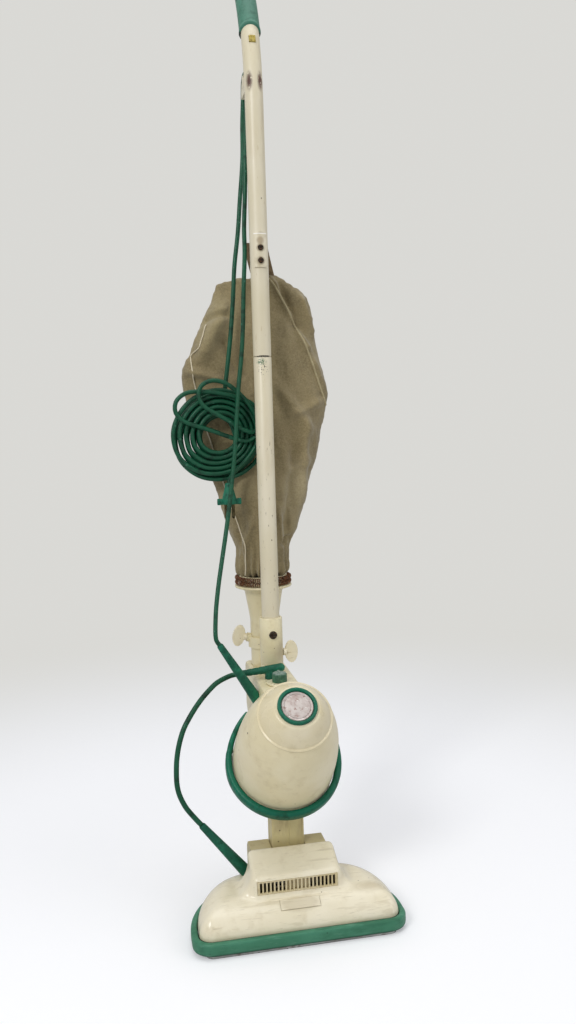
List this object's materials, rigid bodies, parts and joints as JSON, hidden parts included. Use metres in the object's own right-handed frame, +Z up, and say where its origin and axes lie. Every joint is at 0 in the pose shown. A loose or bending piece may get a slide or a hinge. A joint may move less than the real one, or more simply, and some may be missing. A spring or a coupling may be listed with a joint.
{
  "type": "upright vacuum cleaner",
  "caption": "Slim upright vacuum cleaner: wide floor head with brush roll, tilting motor unit, exhaust pipe with cloth dust bag, long tube with grip, and a coiled cord.",
  "frame": {"origin": "on the floor, midway across the head and straight below the neck hinge", "axes": "+X to the machine's right seen from its front, -Y to the front, +Z up along the tube"},
  "size_m": [0.2564, 0.273, 1.1522],
  "materials": {
    "sole_steel": "thin pressed plate, dulled by carpet",
    "moulded_black": "moulded, matt",
    "cream_shell": "aged cream moulding, worn gloss",
    "tan_moulding": "yellowed moulding",
    "head_rubber": "soft bumper, scuffed",
    "green_rubber": "deep green, satin",
    "grip_rubber": "faded sea green, satin",
    "green_moulding": "green moulding, satin",
    "bare_steel": "plain turned steel",
    "dark_steel": "dark oxidised steel",
    "cast_alloy": "cast, plain",
    "belt_rubber": "black rubber",
    "brush_bristle": "dark roll with bristle rows",
    "badge_metal": "thin printed foil, left bare",
    "cream_enamel": "stove enamel, chipped",
    "ivory_moulding": "yellowed ivory moulding",
    "rusty_spring": "close wound steel, rusty",
    "bag_cloth": "brushed cotton twill",
    "cord_rubber": "dark green sheath, satin"
  },
  "bodies": {
    "head": {"sole_plate": "sole_steel", "head_chassis": "moulded_black", "head_cover": "cream_shell", "vent_grille": "tan_moulding", "inspection_plate": "cream_shell", "head_bumper": "head_rubber", "hinge_yoke": "tan_moulding", "hinge_pin_left": "bare_steel", "hinge_pin_right": "bare_steel", "brush_motor": "dark_steel", "drive_belt": "belt_rubber", "head_cord_relief": "green_moulding"},
    "brush_roll": {"brush_roll": "brush_bristle"},
    "brush_drive": {"brush_motor_shaft": "bare_steel"},
    "roller_left": {"roller_left": "belt_rubber"},
    "roller_right": {"roller_right": "belt_rubber"},
    "upper_body": {"neck_duct": "tan_moulding", "fan_casing": "cream_shell", "motor_bumper": "green_rubber", "motor_housing": "cream_shell", "motor_cap": "cream_shell", "badge_ring": "green_moulding", "badge_disc": "badge_metal", "bearing_plate": "bare_steel", "lower_bearing": "bare_steel", "upper_bearing": "bare_steel", "brush_plate": "moulded_black", "carbon_brush_left": "moulded_black", "carbon_brush_right": "moulded_black", "stator": "dark_steel", "housing_spine": "cream_shell", "dial_plate": "cream_shell", "connector_plug": "green_moulding", "exhaust_pipe": "cream_enamel", "pipe_clamp": "cream_shell", "bag_funnel": "cream_shell", "bag_collar": "rusty_spring", "dust_bag": "bag_cloth", "bag_strap": "bag_cloth", "tube_sleeve": "cream_shell", "sleeve_screw": "dark_steel", "lower_tube": "cream_enamel", "upper_tube": "cream_enamel", "hand_grip": "grip_rubber", "hook_plate": "cream_enamel", "bag_hook": "bare_steel", "hook_screw_upper": "dark_steel", "hook_screw_lower": "dark_steel", "cord_hook": "dark_steel", "mains_cord_relief": "green_moulding", "mains_cord": "cord_rubber", "cord_coil": "cord_rubber", "mains_plug": "green_moulding", "brush_cable": "cord_rubber"},
    "armature": {"armature": "dark_steel", "fan_impeller": "cast_alloy"},
    "switch_knob": {"switch_knob": "green_moulding"},
    "clamp_wing_screw": {"clamp_wing_screw": "ivory_moulding"},
    "sleeve_wing_screw": {"sleeve_wing_screw": "ivory_moulding"},
    "grip_latch": {"grip_latch": "dark_steel"}
  },
  "joints": [
    {"name": "neck_tilt", "type": "hinge", "parent": "head", "child": "upper_body", "pos_m": [0, 0, 0.06], "axis": [-1, 0, 0], "range_deg": [0, 60], "deforming": ["brush_cable"]},
    {"name": "brush_spin", "type": "hinge", "parent": "head", "child": "brush_roll", "pos_m": [0, -0.059, 0.016], "axis": [1, 0, 0], "continuous": true},
    {"name": "drive_spin", "type": "hinge", "parent": "head", "child": "brush_drive", "pos_m": [0, -0.042, 0.054], "axis": [1, 0, 0], "continuous": true},
    {"name": "roller_left_spin", "type": "hinge", "parent": "head", "child": "roller_left", "pos_m": [-0.06, 0, 0.0082], "axis": [1, 0, 0], "continuous": true},
    {"name": "roller_right_spin", "type": "hinge", "parent": "head", "child": "roller_right", "pos_m": [0.06, 0, 0.0082], "axis": [1, 0, 0], "continuous": true},
    {"name": "motor_spin", "type": "hinge", "parent": "upper_body", "child": "armature", "pos_m": [0, 0.0027, 0.1804], "axis": [0, -0.7071, 0.7071], "continuous": true},
    {"name": "knob_turn", "type": "hinge", "parent": "upper_body", "child": "switch_knob", "pos_m": [0, 0.0125, 0.2746], "axis": [0, 0, 1], "range_deg": [0, 120]},
    {"name": "clamp_screw_turn", "type": "hinge", "parent": "upper_body", "child": "clamp_wing_screw", "pos_m": [0, 0.1105, 0.303], "axis": [-0.9703, 0, 0.2419], "range_deg": [0, 180]},
    {"name": "sleeve_screw_turn", "type": "hinge", "parent": "upper_body", "child": "sleeve_wing_screw", "pos_m": [0, 0.062, 0.298], "axis": [1, 0, 0], "range_deg": [0, 180]},
    {"name": "latch_press", "type": "slide", "parent": "upper_body", "child": "grip_latch", "axis": [0, 0.9603, -0.279], "range_m": [0, 0.003], "stiffness_N_per_m": 400}
  ],
  "couplings": [
    {"joint": "drive_spin", "follows": "brush_spin", "ratio": 1}
  ]
}
